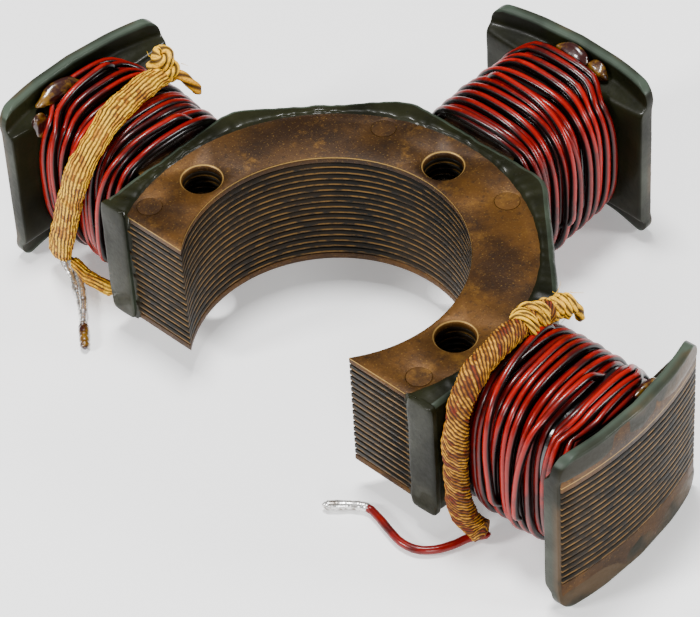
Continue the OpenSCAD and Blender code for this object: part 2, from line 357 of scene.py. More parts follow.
def plateSteel():
    # Heat-tinted plate: bronze brown with darker clouds, fine golden grain and a painted highlight
    # along the rounded top rim, which is a bright band of height just under the plate's top face
    look = Look("plate_steel", Metallic=0.45, Specular_IOR_Level=0.28)
    z = look.height()
    cloud = look.noise(70, 6, 0.68)
    blot = look.noise(26, 3, 0.6, None, 2.2)
    grain = look.noise(1300, 3, 0.65)
    speck = look.noise(3000, 2, 0.5, None, 3.0)
    gold = look.noise(190, 6, 0.75, None, 1.7)
    base = look.mix(look.between(cloud, 0.36, 0.64), colour(46, 27, 8), colour(86, 55, 16))
    base = look.mix(look.between(blot, 0.52, 0.66) * 0.55, base, colour(30, 19, 9))
    base = look.mix(look.between(grain, 0.52, 0.72) * 0.55, base, colour(26, 16, 8))
    base = look.mix(look.between(gold, 0.55, 0.74) * 0.6, base, colour(118, 82, 28))
    base = look.mix(look.between(speck, 0.60, 0.74) * 0.35, base, colour(150, 116, 52))
    top = stackHigh * mm
    rim = look.between(z, top - 0.00024, top - 0.00004)
    # Painted highlight: worn is a bright band along the plate's rounded top rim
    worn = look.between(z, top - 0.00034, top - 0.00020) * (1 - rim)
    base = look.mix(worn * 0.8, base, colour(190, 152, 84))
    rough = 0.30 + cloud * 0.20 + grain * 0.20
    relief = look.bump(grain * 0.6 + speck * 0.3 + cloud * 0.6, 0.00012, 0.5)
    return look.to(Base_Color=base, Roughness=rough, Normal=relief)


def epoxyCoat():
    # Olive-grey epoxy with a paler painted highlight on its ridges and edges, and dust under the
    # gloss. Where skin is 1 it is a thin worn film that shows the brown steel
    look = Look("epoxy", Coat_Roughness=0.08, Specular_IOR_Level=0.12)
    ridge = look.mark("ridge")
    skin = look.mark("skin")
    cloud = look.noise(90, 3, 0.5)
    fleck = look.noise(1600, 2, 0.5)
    base = look.mix(look.between(cloud, 0.3, 0.7), colour(12, 13, 5), colour(30, 31, 14))
    base = look.mix(look.between(fleck, 0.62, 0.72) * 0.6, base, colour(14, 14, 9))
    # Painted highlight: pale grey-teal along the coat's ridges and free edges
    base = look.mix(look.between(ridge * (0.6 + cloud), 0.6, 1.2) * 0.5, base, colour(84, 98, 86))
    worn = look.mix(look.between(cloud, 0.44, 0.58), colour(30, 28, 17), colour(64, 47, 24))
    base = look.mix(skin, base, worn)
    coat = look.between(cloud, 0.35, 0.7) * 0.22
    rough = 0.28 + fleck * 0.3
    relief = look.bump(cloud + fleck * 0.12, 0.00035, 0.5)
    return look.to(Base_Color=base, Coat_Weight=coat, Roughness=rough, Normal=relief)


def enamel():
    # Red enamel over copper: bright on the crown of a turn, near black down its sides, which is
    # painted shade between the turns. Tone darkens the deeper layers and the turns near the yoke
    # as painted shade, and varies a little along the wire
    look = Look("enamelled_wire", Coat_Roughness=0.10, Specular_IOR_Level=0.22)
    crown = look.mark("crown")
    tone = look.mark("tone")
    blotch = look.noise(160, 4, 0.6)
    fine = look.noise(1400, 2, 0.5)
    # Painted shade from tone: the deeper layers and the turns near the yoke are a darker red
    bright = look.mix(tone, colour(66, 2, 2), colour(156, 10, 2))
    glint = look.between(fine, 0.6, 0.75) * 0.25
    bright = look.mix(glint, bright, colour(190, 52, 18))
    # Painted shade: near black down the sides of each turn, away from its crown
    base = look.mix(look.between(crown, 0.76, 1.02), colour(5, 1, 1), bright)
    base = look.mix(look.between(blotch, 0.50, 0.66) * 0.7, base, colour(20, 3, 3))
    rough = 0.18 + blotch * 0.26
    relief = look.bump(fine, 0.00005, 0.4)
    coat = blotch * 0.4
    return look.to(Base_Color=base, Roughness=rough, Coat_Weight=coat, Normal=relief)


def valleyShadeCoat():
    # A near-black glossy coat that fills the valleys of a winding: painted shade between the turns
    look = Look("winding_valley_shade", Coat_Roughness=0.05, Coat_Weight=0.8)
    cloud = look.noise(220, 4, 0.6)
    # Painted shade: near black, so the valleys between the turns read as shadow
    base = look.mix(look.between(cloud, 0.4, 0.65), colour(6, 2, 2), colour(26, 6, 4))
    rough = 0.12 + cloud * 0.25
    relief = look.bump(cloud, 0.0004, 0.6)
    return look.to(Base_Color=base, Roughness=rough, Normal=relief)


def braid(name, pale, mid, odd, deep, stain):
    # Cotton yarns: pale on their crowns, with painted shade in the deep colour between them,
    # some of another tint, with dark varnish stains
    look = Look(name, Specular_IOR_Level=0.2)
    crown = look.mark("crown")
    tone = look.mark("tone")
    cloud = look.noise(170, 4, 0.6)
    fibre = look.noise(3200, 2, 0.6)
    base = look.mix(look.between(cloud * 0.5 + tone * 0.5, 0.3, 0.65), mid, pale)
    base = look.mix((1 - look.between(tone, 0.08, 0.2)) * 0.85, base, odd)
    # Painted shade: the deep colour fills the grooves between the yarns, where crown is low
    base = look.mix((1 - look.between(crown, 0.15, 0.82)) * 0.95, base, deep)
    base = look.mix(look.between(fibre, 0.48, 0.7) * 0.5, base, deep)
    spots = look.noise(520, 3, 0.6, None, 5.0)
    base = look.mix(look.between(spots, 0.60, 0.70) * 0.8, base, stain)
    rough = 0.5 + fibre * 0.3
    relief = look.bump(fibre, 0.00012, 0.6)
    return look.to(Base_Color=base, Roughness=rough, Normal=relief)


def tinned():
    # Solder on copper strands: bright, lumpy, with dull grey patches
    look = Look("tinned_copper", Metallic=0.85)
    patch = look.noise(700, 3, 0.6)
    dull = look.between(patch, 0.45, 0.65)
    base = look.mix(dull, colour(222, 221, 218), colour(128, 120, 112))
    rough = 0.16 + patch * 0.28
    relief = look.bump(patch, 0.0001, 0.6)
    return look.to(Base_Color=base, Roughness=rough, Normal=relief)


def amber():
    # Resin that is honey yellow where thin and brown where thick
    look = Look("amber_resin", Coat_Weight=0.8, Coat_Roughness=0.06)
    cloud = look.noise(420, 4, 0.6)
    base = look.mix(look.between(cloud, 0.44, 0.62), colour(40, 5, 2), colour(112, 78, 10))
    rough = 0.2 + cloud * 0.25
    relief = look.bump(cloud, 0.0002, 0.6)
    return look.to(Base_Color=base, Roughness=rough, Normal=relief)


looks = {
    "core": coreSteel(),
    "plate": plateSteel(),
    "epoxy": epoxyCoat(),
    "enamel": enamel(),
    "varnish": valleyShadeCoat(),
    # Each braid's colours: pale, mid, odd tint, the painted shade of its grooves, stain
    "yellow": braid("braid_yellow", colour(240, 184, 36), colour(198, 132, 14),
                    colour(156, 96, 14), colour(44, 20, 2), colour(60, 22, 4)),
    "brown": braid("braid_brown", colour(206, 144, 36), colour(116, 62, 8),
                   colour(112, 36, 12), colour(48, 20, 5), colour(90, 20, 8)),
    "tinned": tinned(),
    "amber": amber(),
}
print("materials made")

# Sheets and end plates: copies of the CAD ones with softened edges
softening = {
    "weld": 2e-6,           # metres between points that are merged
    "cornerAngle": 0.9,     # an edge turns by at least this much, in radians, to be rounded
    "level": 0.5,           # and rises by less than this share of its length
    "sheetRound": 0.17,
    "plateRound": 0.22,
    "sheetWander": 0.035,
    "waves": (7, 60, 900),  # how many, slowest and fastest in radians a metre
    "shadeAngle": 50,
}


def softened(c, node, width, wander, seed):
    # A merged copy of a CAD plate whose rims are rounded and whose walls wander a little:
    # each point moves in plan by two wave functions of its place, other ones for each sheet
    work = bmesh.new()
    work.from_mesh(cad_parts[node].data)
    bmesh.ops.remove_doubles(work, verts=work.verts, dist=c["weld"])
    bmesh.ops.recalc_face_normals(work, faces=work.faces)
    sharp = [e for e in work.edges
             if len(e.link_faces) == 2 and e.calc_face_angle() > c["cornerAngle"]
             and abs((e.verts[0].co - e.verts[1].co).normalized().z) < c["level"]]
    bmesh.ops.bevel(work, geom=sharp, offset=width * mm, offset_type="OFFSET", segments=2,
                    profile=0.5, affect="EDGES", clamp_overlap=True)
    mesh = bpy.data.meshes.new(node + "_soft")
    work.to_mesh(mesh)
    work.free()
    co = np.empty(len(mesh.vertices) * 3)
    mesh.vertices.foreach_get("co", co)
    p = co.reshape(-1, 3)
    alongX = waves(*c["waves"], wander, seed)
    alongY = waves(*c["waves"], wander, seed + 50)
    p[:, 0] += alongX(p) * mm
    p[:, 1] += alongY(p) * mm
    mesh.vertices.foreach_set("co", p.reshape(-1))
    mesh.update()
    mesh.shade_smooth()
    mesh.set_sharp_from_angle(angle=math.radians(c["shadeAngle"]))
    piece = bpy.data.objects.new(node + "_soft", mesh)
    bpy.context.scene.collection.objects.link(piece)
    return piece


sheetNames = sorted(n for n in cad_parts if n.startswith("lamination_"))
for number, node in enumerate(sheetNames):
    sheet = softened(softening, node, softening["sheetRound"], softening["sheetWander"], number)
    finishPiece(sheet, looks["core"], (node,))
for node in ("end_plate_bottom", "end_plate_top"):
    plate = softened(softening, node, softening["plateRound"], 0.0, 90)
    finishPiece(plate, looks["plate"], (node,))
# The rivets keep their own mesh and only take the plates' finish
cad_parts["rivets"].data.materials.clear()
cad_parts["rivets"].data.materials.append(looks["plate"])
print("core made")

# Epoxy on the yoke
yokeCoat = {
    "flat": 35.85,          # centre to the coat's flats
    "cornerSharp": 44,      # higher is a sharper octagon corner
    "lipHigh": 0.55,        # height of the glossy edge at the mask line
    "lip": (                # the edge's section: share of the way out, share of its height
        (0.0, 0.0), (0.02, 0.55), (0.14, 0.92), (0.30, 1.0),
        (0.46, 0.88), (0.62, 0.76), (0.78, 0.70)),
    "depth": 2.2,           # how far the coat's hidden inner wall is inside the flats
    "edgeRound": 1.0,
    "endTurn": 115.3,       # degrees either way from the middle pole
    "endThick": 0.75,
    "endFrom": 30.7,        # the mouth's end faces are bare nearer the middle than this
}


def octagonReach(turn, flat, sharp):
    # Soft octagon: flat over the p-norm of the eight flats' cosines along a direction
    faces = np.radians(np.arange(0, 360, 45))
    cosines = np.clip(np.cos(turn[..., None] - faces), 0, None)
    return flat / (cosines ** sharp).sum(-1) ** (1 / sharp)


def square(value, power):
    # Keeps the sign and raises the size to a power, which squares off a sine below 1
    return np.sign(value) * np.abs(value) ** power


def endPad(c, sign):
    # A rounded slab over each end face: a squared-off ball whose surface wanders a little
    v = np.linspace(0.03, math.pi - 0.03, 60)[:, None]
    a = np.linspace(0, 2 * math.pi, 60, endpoint=False)[None]
    aim = np.stack([square(np.sin(v), 0.16) * square(np.cos(a), 0.35),
                    square(np.sin(v), 0.16) * square(np.sin(a), 0.35),
                    square(np.cos(v), 0.3) + 0 * a], -1)
    half = np.array([c["endThick"], (c["flat"] + 0.25 - c["endFrom"]) / 2,
                     stackMid + c["lipHigh"] * 0.8])
    centre = np.array([core["mouthX"] - 0.05, sign * (c["endFrom"] + half[1]), stackMid])
    pts = centre + aim * half
    pts = pts + waves(8, 0.3, 2.2, 0.12, 17 + sign)(pts)[..., None] * aim * (1, 1, 0.5)
    # ridge: painted highlight towards the pad's edges
    return tubeShell(pts, ridge=np.clip(np.abs(aim[..., 1]) * 1.6 - 0.9, 0, 1), skin=0.0)


def yokeCoatShells(c):
    # Section as a closed loop of (distance out, height): over the top lip, down the wall,
    # under the bottom lip and up inside. The loop is carried round by direction, and a soft
    # maximum of x and the mouth's plane cuts it off flat
    turn = np.radians(np.linspace(-c["endTurn"], c["endTurn"], 520))
    out = octagonReach(turn, c["flat"], c["cornerSharp"])
    out += waves(7, 5, 50, 0.10, 12)(turn)
    lip = core["bareR"] + waves(9, 3, 60, 0.11, 11)(turn) + 0.5 * waves(8, 40, 160, 0.10, 13)(turn)
    highs = c["lipHigh"] * (1 + 0.35 * waves(8, 20, 120, 1.0, 14)(turn))
    e = c["edgeRound"]
    a = np.linspace(0, math.pi / 2, 7)
    shares, heights = np.array(c["lip"]).T
    rims = []
    for sign, base in ((1, stackHigh), (-1, stackLow)):
        reach = lip[:, None] + (out - e - lip)[:, None] * shares / shares[-1]
        z = base + sign * highs[:, None] * heights
        cornerR = (out - e)[:, None] + e * np.sin(a)
        cornerZ = base + sign * (highs[:, None] * heights[-1] - e * (1 - np.cos(a)))
        rims.append((np.hstack([reach, cornerR]), np.hstack([z, cornerZ])))
    wallZ = np.linspace(stackHigh - e - 0.8, stackLow + e + 0.8, 9)
    flatWall = np.stack(np.broadcast_arrays(
        out[:, None] * np.cos(turn[:, None]), out[:, None] * np.sin(turn[:, None]), wallZ), -1)
    wall = out[:, None] + waves(6, 0.2, 1.4, 0.07, 15)(flatWall)
    inside = np.full((len(turn), 2), core["yokeFlat"] - c["depth"])
    insideZ = np.broadcast_to([stackLow + 0.3, stackHigh - 0.3], inside.shape)
    radial = np.hstack([rims[0][0], wall, rims[1][0][:, ::-1], inside])
    z = np.hstack([rims[0][1], np.broadcast_to(wallZ, wall.shape), rims[1][1][:, ::-1], insideZ])
    # ridge: painted highlight over the lip and round the outer corner
    ridge = np.zeros_like(radial)
    ridge[:, 1:5] = 0.5     # over the lip
    ridge[:, 7:12] = 0.8    # round the outer corner
    x = radial * np.cos(turn[:, None])
    y = radial * np.sin(turn[:, None])
    edge = core["mouthX"] - 0.1
    x = edge + np.logaddexp(0, (x - edge) * 9) / 9
    coat = tubeShell(np.stack([x, y, z], -1), ridge=ridge, skin=0.0)
    return [coat, endPad(c, 1), endPad(c, -1)]


makePiece("yokeEpoxy", yokeCoatShells(yokeCoat), looks["epoxy"], "epoxy", ("yoke_coating",))
print("yoke coat made")

# Epoxy on the pole shoes
shoeCoat = {
    "film": 0.55,           # over the inner face and the sides
    "flapFilm": 0.45,
    "rim": 0.32,            # over the flap's free edge
    "ground": 0.12,         # how far the coat sits below the ground sheets
    "flapSkin": 0.14,       # how far it stands over the outside of a flap
    "cornerR": 3.0,
    "bend": (0.22, 0.10),   # lower is squarer: along the width, through the depth
    "rows": 96,
    "columns": 120,
}


def shoeCoatShell(c, angle, seed):
    # Closed loops in plan, one for each height: out along the cylinder, back along the
    # inner face, with rounded ends; the half width shrinks by a quarter circle at each
    # corner, and inStack goes smoothly from 0 on the flaps to 1 between them
    low, high = floorZ, stackHigh + (stackLow - floorZ)
    v = np.linspace(0, 1, c["rows"])
    z = low - c["rim"] + (high - low + 2 * c["rim"]) * (0.5 - 0.5 * np.cos(math.pi * v))
    near = np.minimum(z - low, high - z)
    corner = c["cornerR"] + c["rim"]
    drop = np.clip(c["cornerR"] - near, 0, corner)
    cut = corner - np.sqrt(np.clip(corner ** 2 - drop ** 2, 0, None))
    half = core["shoeHalf"] + c["film"] * 0.8 - cut
    fade = np.clip((near + c["rim"]) / 0.5, 0, 1)
    full = np.sqrt(np.clip(1 - (1 - fade) ** 2, 0, 1))
    depth = np.minimum(z - stackLow, stackHigh - z)[:, None]
    inStack = 1 / (1 + np.exp(-(depth + 0.9) * 3.2))
    t = np.linspace(0, 2 * math.pi, c["columns"], endpoint=False)
    across = square(np.cos(t), c["bend"][0])
    deep = square(np.sin(t), c["bend"][1])
    y = half[:, None] * across[None]
    heights = np.broadcast_to(z[:, None], y.shape)
    spot = np.stack([y * 0 + angle, y, heights], -1)
    skin = c["flapSkin"] - (c["flapSkin"] + c["ground"]) * inStack
    patch = waves(9, 0.2, 1.5, 0.03, seed + 7)(spot) * (1 - inStack)
    outer = np.sqrt((core["shoeR"] + skin + patch) ** 2 - y ** 2)
    flapX = np.sqrt(core["flapInnerR"] ** 2 - y ** 2) - c["flapFilm"]
    flatX = core["shoeInnerX"] - c["film"]
    inner = flapX + (flatX - flapX) * inStack + waves(9, 0.12, 1.6, 0.13, seed)(spot)
    mid, thick = (outer + inner) / 2, (outer - inner) / 2
    x = mid + thick * deep[None] * (0.35 + 0.65 * full[:, None])
    points = np.stack([x, y, heights], -1)
    # atRim and atEdge give the painted highlight along the flap's rims and side edges
    atRim = np.clip(1.2 - near / 1.1, 0, 1)[:, None]
    atEdge = atRim + np.clip(np.abs(across) - 0.93, 0, 1)[None] * 9
    worn = np.clip(deep * 4 - 2, 0, 1)[None] * np.clip(1.6 - atEdge, 0, 1)
    return tubeShell(turned(points, angle), True, ridge=np.clip(atEdge, 0, 1), skin=worn)


for number, (side, angle) in enumerate(poleAngle.items()):
    makePiece("shoeEpoxy_" + side, [shoeCoatShell(shoeCoat, angle, 30 + number)],
              looks["epoxy"], "epoxy", ("pole_liner_" + side,))
print("shoe coats made")

# Windings: millimetres along the pole, across it and up, about the stack's middle
winding = {
    "halfW": 8.0,           # of the insulated neck
    "halfH": stackMid + 0.5,
    "start": 36.1,
    "end": 56.5,
    "wireR": 0.66,
    "spill": (0.9, 2.6),    # how far the top turns lean over the yoke and over the shoe
    "stepAt": 0.76,         # share of a turn after which the wire steps over
    "columns": 10,
    "perTurn": 64,
    "swell": 0.45,          # how much fatter the winding is halfway along the pole
    "dive": 1.3,            # how far the ends of a crossing turn go under the others
    "layers": (
        # depth beside and above the neck, squareness, turns, first and last place as
        # shares, wander along the pole, wander in depth, tone (painted shade: darker for deeper
        # layers)
        (0.66, 0.66, 7.0, 15, 0.00, 1.00, 0.04, 0.00, 0.3),
        (2.90, 1.95, 3.2, 13, 0.00, 1.00, 0.50, 0.18, 0.55),
        (4.10, 3.00, 2.7, 11, 0.03, 1.00, 1.10, 0.36, 1.0),
    ),
    # varnish: the near-black barrel that paints shade in the winding's valleys
    "varnish": (2.75, 1.80, 3.3),       # depth beside and above the neck, squareness
    "strays": {
        # share of the loop where it comes up, turns, first and last place along the
        # pole, lift over the outer layer
        "left": ((0.02, 0.46, 41.2, 37.9, 1.15), (0.06, 0.42, 50.6, 54.2, 1.1)),
        "middle": ((0.30, 0.44, 45.8, 43.4, 1.1),),
        "right": ((0.29, 0.46, 39.8, 43.8, 1.15), (0.35, 0.40, 51.2, 48.0, 1.1)),
    },
}


def aroundNeck(c, angle, beside, above, power):
    # Superellipse |y/w|^n + |z/h|^n = 1: the point in a direction and the way out there
    w, h = c["halfW"] + beside, c["halfH"] + above
    cy, cz = np.cos(angle), np.sin(angle)
    reach = ((np.abs(cy) / w) ** power + (np.abs(cz) / h) ** power) ** (-1 / power)
    y, z = reach * cy, reach * cz
    aim = np.arctan2(square(z, power - 1) / h ** power, square(y, power - 1) / w ** power)
    return y, z, aim


def loopAngle(c):
    # Directions seen from the pole's middle at equal steps round a typical turn, with
    # the first at the foot of the pole's left side and the last back at the same place
    first = -math.atan2(c["halfH"], c["halfW"])
    angle = np.linspace(first, first + 2 * math.pi, 1440)
    y, z, _ = aroundNeck(c, angle, *c["varnish"])
    run = np.concatenate([[0], np.cumsum(np.hypot(np.diff(y), np.diff(z)))])
    return run / run[-1], angle


def arch(c, x, inset=0.0):
    # 1 midway along the winding and 0 at its ends, as a parabola
    half = (c["end"] - c["start"]) / 2 - inset
    return 1 - ((x - (c["start"] + c["end"]) / 2) / half) ** 2


def spill(c, x, z, above):
    # Over the top and the underside the wire spreads past the liner's ends, on to the
    # shoe's ledge and the yoke: a smooth share of the height times one of the place
    if above <= 1:
        return 0 * z
    over = np.clip((np.abs(z) - stackMid - 0.6) / 2.0, 0, 1)
    toShoe = np.clip((x - 48) / 8, 0, 1) ** 1.5
    toYoke = np.clip((42 - x) / 6, 0, 1) ** 1.5
    return over * (c["spill"][1] * toShoe - c["spill"][0] * toYoke)


def roundWire(c, path, aim, angle, tone):
    # The wire itself along its line; crown is 1 on the side that faces out from the neck and
    # falls down its sides, where the enamel paints shade
    outer = np.stack([aim * 0, np.cos(aim), np.sin(aim)], -1)
    rings = sweep(path, c["wireR"], outer, c["columns"])
    face = ((rings - path[:, None]) * outer[:, None]).sum(-1) / c["wireR"]
    return tubeShell(turned(rings, angle), crown=face * 0.5 + 0.5, tone=tone)


def wireShell(c, loop, layer, angle, seed, firstTurn):
    # A coil round the neck: each turn lies flat, steps over by one pitch on the
    # underside, and wanders smoothly along the pole and in depth
    beside, above, power, turns, low, high, wander, dive, tone = layer
    t = np.linspace(0, turns, int(turns * c["perTurn"]))
    span = c["end"] - c["start"] - 2 * c["wireR"]
    whole, part = np.divmod(t + firstTurn, 1)
    step = np.clip((part - c["stepAt"]) / (1 - c["stepAt"]), 0, 1)
    laid = np.clip(whole + step ** 2 * (3 - 2 * step), 0, turns - 1) / (turns - 1)
    x = c["start"] + c["wireR"] + span * (low + (high - low) * laid)
    x = x + waves(8, 1.2, 15, wander, seed)(t)
    x = np.clip(x, c["start"] + c["wireR"], c["end"] - c["wireR"])
    extra = (c["swell"] * arch(c, x, c["wireR"]) - 0.2) * (above > 1)
    extra = extra + waves(7, 2, 24, 1.0, seed + 1)(t) * dive
    y, z, aim = aroundNeck(c, np.interp(part, *loop), beside + extra, above + extra, power)
    x = x + spill(c, x, z, above)
    # Painted shade: the wire darkens towards the yoke end of the winding and on the deeper layers
    yokeShade = 0.45 + 0.55 * np.clip((x - c["start"]) / 12, 0, 1)
    shade = tone * yokeShade * (0.7 + 0.3 * np.sin(t * 5.1 + seed))
    path = np.stack([x, y, z + stackMid], -1)
    return roundWire(c, path, aim, angle, np.clip(shade, 0, 1)[:, None])


def strayShell(c, loop, stray, angle, seed):
    # Part of a turn that crosses the others: its place along the pole follows a smooth
    # step, and its two ends dive back under them
    start, turns, first, last, lift = stray
    share = np.linspace(0, 1, int(turns * c["perTurn"]) * 2)
    x = first + (last - first) * share ** 2 * (3 - 2 * share)
    x = x + waves(5, 1, 8, 0.12, seed)(share * turns * 6)
    risen = np.clip(np.sin(math.pi * share) * 2.4, 0, 1)
    risen = risen ** 2 * (3 - 2 * risen)
    beside, above, power = c["layers"][-1][:3]
    extra = c["swell"] * arch(c, x) - 0.2 + (lift + c["dive"]) * risen - c["dive"]
    way = np.interp((start + turns * share) % 1, *loop)
    y, z, aim = aroundNeck(c, way, beside + extra, above + extra, power)
    path = np.stack([x + spill(c, x, z, above), y, z + stackMid], -1)
    return roundWire(c, path, aim, angle, 0.85)


def valleyShadeShell(c, loop, angle, seed):
    # A barrel of loops along the pole that fills the winding's valleys with painted shade
    beside, above, power = c["varnish"]
    x = np.linspace(c["start"], c["end"], 60)[:, None]
    extra = c["swell"] * np.clip(arch(c, x), 0, 1) ** 0.6
    extra[[0, -1]] = -1.5   # the ends close inwards
    way = np.interp(np.linspace(0, 1, 160, endpoint=False), *loop)[None]
    spot = np.stack(np.broadcast_arrays(x, 9 * np.cos(way), 9 * np.sin(way)), -1)
    extra = extra + waves(10, 0.3, 3, 0.16, seed)(spot)
    y, z, _ = aroundNeck(c, way, beside + extra, above + extra, power)
    x = x + spill(c, x, z, above)
    return tubeShell(turned(np.stack([x, y, z + stackMid], -1), angle))


loop = loopAngle(winding)
for number, (side, angle) in enumerate(poleAngle.items()):
    shells = [wireShell(winding, loop, layer, angle, 100 + 20 * number + k, 0.11 * k)
              for k, layer in enumerate(winding["layers"])]
    shells += [strayShell(winding, loop, stray, angle, 300 + 10 * number + k)
               for k, stray in enumerate(winding["strays"][side])]
    makePiece("wire_" + side, shells, looks["enamel"], "enamelled_wire", ("winding_" + side,))
    # Painted shade: a near-black barrel inside each winding fills its valleys
    makePiece("windingValleyShade_" + side, [valleyShadeShell(winding, loop, angle, 200 + number)],
              looks["varnish"], "enamelled_wire")
print("windings made")

# Lines of the braided sleeves, their ties and the leads
leads = {
    "wireR": 0.7,
    "sleeveRight": [  # along the pole, across it, up
        [38.4, 8.4, 27], [37.7, 5, 28], [37.5, 0, 28.3], [37.6, -5, 28.2],
        [37.8, -9.5, 27.2], [38, -12.6, 24.6], [38, -14.3, 20.5],
        [38, -14.7, 15], [38, -14.7, 9], [38.2, -14.5, 4],
        [38.8, -13.9, 0.4], [40.2, -13.1, -1.8], [42, -12.9, -2.5]],
    "sleeveLeft": [
        [46.6, -7.6, 27.6], [46.2, -4.4, 28.2], [45.6, 0, 28.3],
        [44.6, 4.6, 28.2], [43.4, 8.6, 27.4], [43, 11.8, 25.4],
        [43.8, 13.9, 21.8], [45.2, 14.4, 17.4], [46.8, 14.5, 12.6],
        [48.4, 14.5, 7.8], [50, 14.4, 3.4], [51.4, 14, 0], [51.6, 13.4, -2.2]],
    "tapeLeft": [
        [50, 12.9, -2.6], [47.4, 13.3, -2.4], [44.8, 13.8, -2.2],
        [42, 13.3, -2.4], [39.4, 12.6, -2.8]],
    "knob": [[47.2, -8.4, 26.8], [47.4, -8.6, 28.4], [47.5, -8.7, 30], [47.5, -8.7, 31.2]],
    "lash": [[37.6, 1.6, 28.3], [37.6, 4, 28.1], [37.7, 6.6, 27.6]],
    "knot": [[37.6, 6.4, 27], [38, 8, 26.9], [38.7, 9.8, 26.8], [39.6, 11.6, 26.4]],
    "redLead": [  # in the object's frame, lying on the ground
        [-9.6, -42.6, -3.4], [-10.8, -41.4, -3.7], [-12.4, -40.2, -3.9], [-14.6, -39.4, -4],
        [-17.2, -38, -4], [-19.1, -35.8, -4], [-19.6, -33, -4],
        [-19, -30, -4], [-18.2, -27.2, -4], [-17.7, -25, -4]],
    "redTip": [
        [-17.7, -24.9, -4], [-17.9, -23.6, -4], [-19, -21.8, -4],
        [-20.4, -20.2, -4], [-22, -18.4, -4]],
    "bareLead": [
        [-11, 51.3, -1.5], [-11.3, 50.2, -2.6], [-12, 48.2, -3.3], [-13.4, 45.8, -3.8],
        [-15.6, 42.8, -4], [-18.4, 39.6, -4]],
    "flux": [[-18.5, 39.5, -4], [-19.6, 38.2, -4], [-21, 36.6, -4], [-22.4, 35, -4]],
}


sleeves = {
    # strands round the tube, slant in radians a millimetre, stitch as (pitch, depth)
    "right": {"radius": 1.95, "squash": 1.0, "strands": 12, "slant": 9.2, "relief": 0.17,
              "second": 0.0, "stitch": (0.7, 0.4), "columns": 108, "step": 0.09},
    "left": {"radius": 2.35, "squash": 0.62, "strands": 20, "slant": 0.45, "relief": 0.20,
             "second": 0.2, "stitch": (0.95, 0.25), "columns": 160, "step": 0.13},
    "tape": {"radius": 1.3, "squash": 0.8, "strands": 12, "slant": 0.8, "relief": 0.18,
             "second": 0.3, "stitch": (0.8, 0.25), "columns": 84, "step": 0.12},
}


def pathLength(path):
    # Sum of the straight steps
    return np.linalg.norm(np.diff(path, axis=0), axis=1).sum()


def sleeveShell(c, route, angle, side, seed):
    # A tube with two families of slanted yarns: the relief is the higher of two cosines
    # in (strands x angle +- slant x length), the second family standing lower than the
    # first. Stitches notch every yarn along its length, each short part of a yarn has its
    # own tone, and the tube swells and sags a little
    smooth = smoothRoute(route, 24)
    path = evenly(smooth, int(pathLength(smooth) / c["step"]))
    run = np.linspace(0, pathLength(smooth), len(path))[:, None]
    a = np.linspace(0, 2 * math.pi, c["columns"], endpoint=False)[None]
    strands, second = c["strands"], c["second"]
    stray = waves(6, 0.5, 4, 0.8, seed + 3)(run[:, 0])[:, None]
    one = np.cos(strands * a + c["slant"] * run + stray)
    two = np.cos(strands * a - c["slant"] * run + stray)
    place = (strands * a + c["slant"] * run + stray) / (2 * math.pi)
    yarn = np.round(place).astype(int) % strands
    notch = 0.5 + 0.5 * np.cos(2 * math.pi * run / c["stitch"][0] + yarn * math.pi)
    crown = 0.5 + 0.5 * np.maximum(one, second * two - (1 - second) * 0.6)
    crown = crown * (1 - c["stitch"][1] * notch)
    part = (run / 1.1 + 0.37 * yarn).astype(int)
    tone = np.random.default_rng(seed).uniform(0, 1, (strands, part.max() + 1))[yarn, part]
    swell = waves(6, 0.4, 3, 0.10, seed)(run[:, 0])[:, None]
    spot = np.stack(np.broadcast_arrays(run, 3 * np.cos(a), 3 * np.sin(a)), -1)
    lumps = waves(8, 1.0, 5, 0.07, seed + 1)(spot)
    ends = np.minimum(run, run[::-1]) / 0.8
    taper = np.sqrt(np.clip(ends, 0.15, 1))
    reach = (c["radius"] * (1 + swell + lumps) + c["relief"] * (crown - 0.6)) * taper
    rings = sweep(path, reach, side, c["columns"], c["squash"])
    return tubeShell(turned(rings, angle), crown=crown, tone=tone)


# The yarns of the ties; twist is in radians a millimetre
yarn = {"plies": 3, "twist": 2.4, "columns": 18, "step": 0.12, "perTurn": 14}


def yarnShell(c, route, radius, angle, side, tone=0.8):
    # A twisted yarn: the ring's reach follows a cosine that turns with the length
    smooth = smoothRoute(route, 12)
    path = evenly(smooth, int(pathLength(smooth) / c["step"]))
    run = np.linspace(0, pathLength(smooth), len(path))[:, None]
    a = np.linspace(0, 2 * math.pi, c["columns"], endpoint=False)[None]
    crown = 0.55 + 0.45 * np.cos(c["plies"] * a + c["twist"] * run)
    ends = np.minimum(run, run[::-1]) / radius
    reach = radius * (0.80 + 0.28 * crown) * np.sqrt(np.clip(ends, 0.1, 1))
    rings = sweep(path, reach, side, c["columns"])
    return tubeShell(turned(rings, angle), crown=crown, tone=tone)


def lashing(c, route, radius, turns, flat, seed):
    # Points of a yarn wound round a route: a helix whose radius wanders
    smooth = evenly(smoothRoute(route, 12), turns * c["perTurn"])
    a = np.linspace(0, 2 * math.pi * turns, len(smooth))
    along = np.gradient(smooth, axis=0)
    along /= np.linalg.norm(along, axis=1, keepdims=True)
    across = np.cross(along, [0.31, 0.17, 0.93])
    across /= np.linalg.norm(across, axis=1, keepdims=True)
    up = np.cross(along, across)
    reach = (radius * (1 + waves(5, 0.3, 3, 0.22, seed)(a)))[:, None]
    return smooth + reach * (np.cos(a)[:, None] * across + flat * np.sin(a)[:, None] * up)


